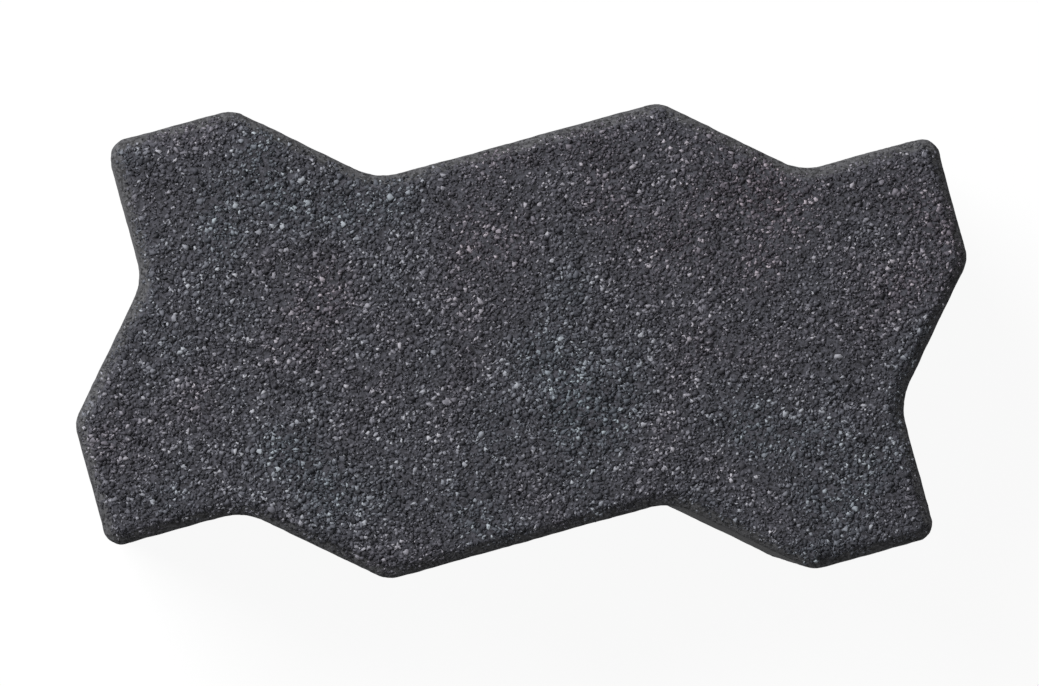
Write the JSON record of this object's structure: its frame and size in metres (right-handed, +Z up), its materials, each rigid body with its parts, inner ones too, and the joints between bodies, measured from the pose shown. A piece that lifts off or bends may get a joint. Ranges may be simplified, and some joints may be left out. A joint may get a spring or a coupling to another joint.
{
  "type": "concrete paving stone",
  "caption": "Zigzag interlocking concrete paving stone with a chamfered top edge, which locks into its neighbours on all four sides.",
  "frame": {"origin": "middle of the bed face, on the ground that the stone lies on", "axes": "+X along the stone's length, +Y across it, +Z up through the chamfered top face"},
  "size_m": [0.2366, 0.1242, 0.08],
  "materials": {
    "concrete": "charcoal pressed concrete with crushed basalt grit in its face, dull and rough"
  },
  "bodies": {
    "root": {"paving_stone": "concrete"}
  },
  "joints": []
}
